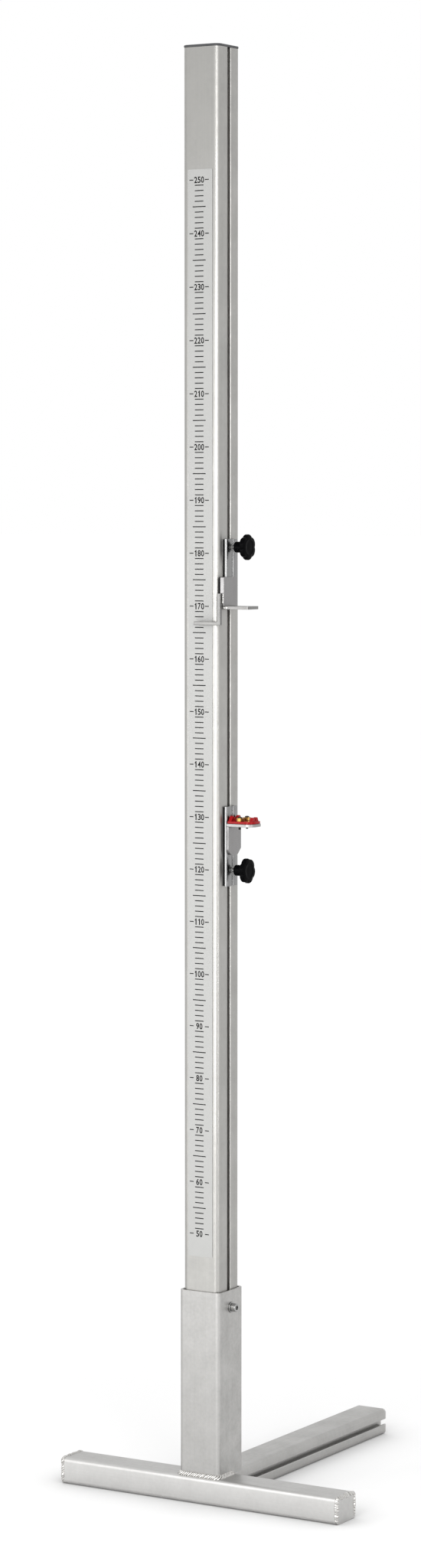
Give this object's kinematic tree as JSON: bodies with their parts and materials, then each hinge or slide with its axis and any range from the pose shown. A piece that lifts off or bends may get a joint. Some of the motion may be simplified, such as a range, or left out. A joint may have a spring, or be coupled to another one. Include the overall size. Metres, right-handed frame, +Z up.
{
  "type": "high jump standards",
  "caption": "Free-standing high jump upright on a T-shaped welded base, with a height scale, a sliding crossbar rest with pointer, and a sliding cord clamp, each locked by a star knob.",
  "frame": {"origin": "on the floor, on the underside of the cross bar, straight below the upright's axis", "axes": "+Z up along the upright, +X along the cross bar towards the side where the crossbar rest and the cord clamp stand out, +Y along the rear leg away from the front; the scale faces -Y"},
  "size_m": [0.6202, 0.6949, 2.7742],
  "materials": {
    "base_aluminium": "extruded, mill finish, faint lengthwise lines",
    "post_aluminium": "extruded, satin anodised",
    "bracket_aluminium": "cut plate, fine brushed",
    "weld_aluminium": "weld bead, rippled, bright",
    "scale_film": "light grey film with a plain black centimetre scale",
    "cap_plastic": "moulded, dark grey, satin",
    "knob_plastic": "moulded, black, polished",
    "liner_plastic": "sliding plastic, black",
    "steel": "zinc plated",
    "dark_steel": "blackened, slightly oily",
    "cleat_plastic": "moulded, red",
    "cam_brass": "machined brass, toothed edge"
  },
  "bodies": {
    "frame": {"cross_bar": "base_aluminium", "cross_bar_end_plate_left": "base_aluminium", "cross_bar_end_plate_right": "base_aluminium", "cross_bar_end_weld_left": "weld_aluminium", "cross_bar_end_weld_right": "weld_aluminium", "rear_leg": "base_aluminium", "rear_leg_end_plate": "base_aluminium", "leg_weld_left": "weld_aluminium", "leg_weld_right": "weld_aluminium", "sleeve": "base_aluminium", "sleeve_weld_front": "weld_aluminium", "sleeve_weld_rear": "weld_aluminium", "clamp_bolt": "steel", "clamp_washer": "steel", "clamp_groove_nut": "steel", "upright": "post_aluminium", "top_cap": "cap_plastic", "measuring_scale": "scale_film"},
    "crossbar_support": {"upper_rail": "bracket_aluminium", "upper_glide_liner": "liner_plastic", "upper_groove_bar": "steel", "upper_bar_screw_1": "steel", "upper_bar_screw_2": "steel", "upper_thread_bush": "steel", "upper_bracket_plate": "bracket_aluminium", "bracket_pad": "liner_plastic", "crossbar_rest": "bracket_aluminium", "pointer": "bracket_aluminium", "pointer_weld": "weld_aluminium", "rest_weld": "weld_aluminium"},
    "upper_screw": {"upper_knob_stud": "steel"},
    "upper_knob": {"upper_knob": "knob_plastic"},
    "cord_clamp": {"lower_rail": "bracket_aluminium", "lower_glide_liner": "liner_plastic", "lower_groove_bar": "steel", "lower_bar_screw_1": "steel", "lower_bar_screw_2": "steel", "lower_thread_bush": "steel", "lower_tongue_plate": "bracket_aluminium", "cleat_shelf": "bracket_aluminium", "cleat_body": "cleat_plastic", "cleat_screw_front": "dark_steel", "cleat_screw_rear": "dark_steel", "cam_spring_front": "steel", "cam_spring_rear": "steel"},
    "lower_screw": {"lower_knob_stud": "steel"},
    "lower_knob": {"lower_knob": "knob_plastic"},
    "front_cam": {"cleat_cam_front": "cam_brass"},
    "rear_cam": {"cleat_cam_rear": "cam_brass"}
  },
  "joints": [
    {"name": "upper_slide", "type": "slide", "parent": "frame", "child": "crossbar_support", "axis": [0, 0, 1], "range_m": [-0.17, 0.83]},
    {"name": "lower_slide", "type": "slide", "parent": "frame", "child": "cord_clamp", "axis": [0, 0, 1], "range_m": [-0.76, 0.15]},
    {"name": "upper_screw_travel", "type": "slide", "parent": "crossbar_support", "child": "upper_screw", "axis": [1, 0, 0], "range_m": [0, 0.003]},
    {"name": "upper_knob_turn", "type": "hinge", "parent": "upper_screw", "child": "upper_knob", "pos_m": [0.0542, 0, 1.8335], "axis": [1, 0, 0], "range_deg": [0, 1080]},
    {"name": "lower_screw_travel", "type": "slide", "parent": "cord_clamp", "child": "lower_screw", "axis": [1, 0, 0], "range_m": [0, 0.003]},
    {"name": "lower_knob_turn", "type": "hinge", "parent": "lower_screw", "child": "lower_knob", "pos_m": [0.0542, 0, 1.22], "axis": [1, 0, 0], "range_deg": [0, 1080]},
    {"name": "front_cam_turn", "type": "hinge", "parent": "cord_clamp", "child": "front_cam", "pos_m": [0.0716, -0.0135, 1.318], "axis": [0, 0, 1], "range_deg": [0, 35], "stiffness_Nm_per_rad": 0.02, "springref_deg": -28.65},
    {"name": "rear_cam_turn", "type": "hinge", "parent": "cord_clamp", "child": "rear_cam", "pos_m": [0.0716, 0.0135, 1.318], "axis": [0, 0, -1], "range_deg": [0, 35], "stiffness_Nm_per_rad": 0.02, "springref_deg": -28.65}
  ],
  "couplings": [
    {"joint": "upper_knob_turn", "follows": "upper_screw_travel", "rad_per_m": 6283.2},
    {"joint": "lower_knob_turn", "follows": "lower_screw_travel", "rad_per_m": 6283.2}
  ]
}
